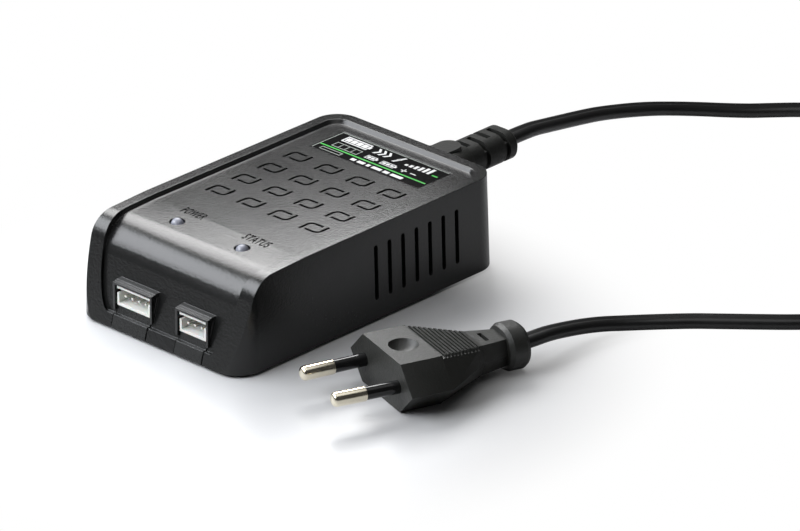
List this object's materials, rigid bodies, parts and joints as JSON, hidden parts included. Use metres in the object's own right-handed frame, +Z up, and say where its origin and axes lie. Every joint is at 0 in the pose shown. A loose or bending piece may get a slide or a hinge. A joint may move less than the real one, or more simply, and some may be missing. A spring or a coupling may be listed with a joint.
{
  "type": "lithium polymer battery charger",
  "caption": "Mains charger for small battery packs: dark box with slotted sunken panel, balance sockets at the front and a detachable flat cord with a two-pin plug.",
  "frame": {"origin": "middle of the housing, on the surface it stands on", "axes": "+X to the right seen from the sockets, +Y from the sockets to the mains inlet, +Z up"},
  "size_m": [0.1736, 0.2517, 0.0277],
  "materials": {
    "cover": "fine spark texture",
    "tray": "fine spark texture",
    "steel": "zinc plated",
    "label": "gloss film",
    "lamp": "water clear",
    "tinned": "tin plated",
    "socket": "satin moulding",
    "board": "solder-resist green",
    "inlet": "satin moulding",
    "inlet_pin": "nickel plated",
    "wire": "insulated",
    "fuse": "gloss",
    "ferrite": "matt ferrite",
    "copper": "enamelled copper",
    "film_cap": "gloss",
    "package": "moulded package",
    "can": "sleeved can",
    "bobbin": "moulded",
    "tape": "tape wound",
    "disc": "dipped",
    "heat_sink": "mill",
    "coupler": "moulded package",
    "resistor": "lacquered",
    "connector": "fine spark texture",
    "spring_brass": "bright",
    "cord": "satin",
    "tie": "satin",
    "plug": "fine spark texture",
    "sleeve": "gloss",
    "nickel": "bright nickel plate"
  },
  "bodies": {
    "charger": {"top_cover": "cover", "base_tray": "tray", "case_screws": "steel", "label_film": "label", "power_lamp": "lamp", "status_lamp": "lamp", "lamp_leads": "tinned", "balance_socket_4": "socket", "balance_contacts_4": "tinned", "balance_socket_3": "socket", "balance_contacts_3": "tinned", "circuit_board": "board", "mains_inlet": "inlet", "inlet_pins": "inlet_pin", "inlet_wires": "wire", "line_fuse": "fuse", "filter_choke_core": "ferrite", "filter_choke_windings": "copper", "filter_capacitor": "film_cap", "bridge_rectifier": "package", "bulk_capacitor": "can", "transformer_core": "ferrite", "transformer_bobbin": "bobbin", "transformer_winding": "tape", "safety_capacitor": "disc", "heat_sink": "heat_sink", "switching_transistor": "package", "optocoupler": "coupler", "output_diode": "package", "output_capacitors": "can", "charge_controller": "package", "balance_resistors": "resistor"},
    "mains_lead": {"cord_connector": "connector", "connector_contacts": "spring_brass", "cord_upper": "cord", "cord_lower": "cord", "cord_coil": "cord", "cord_tie": "tie", "plug_body": "plug", "plug_sleeves": "sleeve", "plug_pins": "nickel"}
  },
  "joints": [
    {"name": "lead_unplug", "type": "slide", "parent": "charger", "child": "mains_lead", "axis": [0, 1, 0], "range_m": [0, 0.014]}
  ]
}
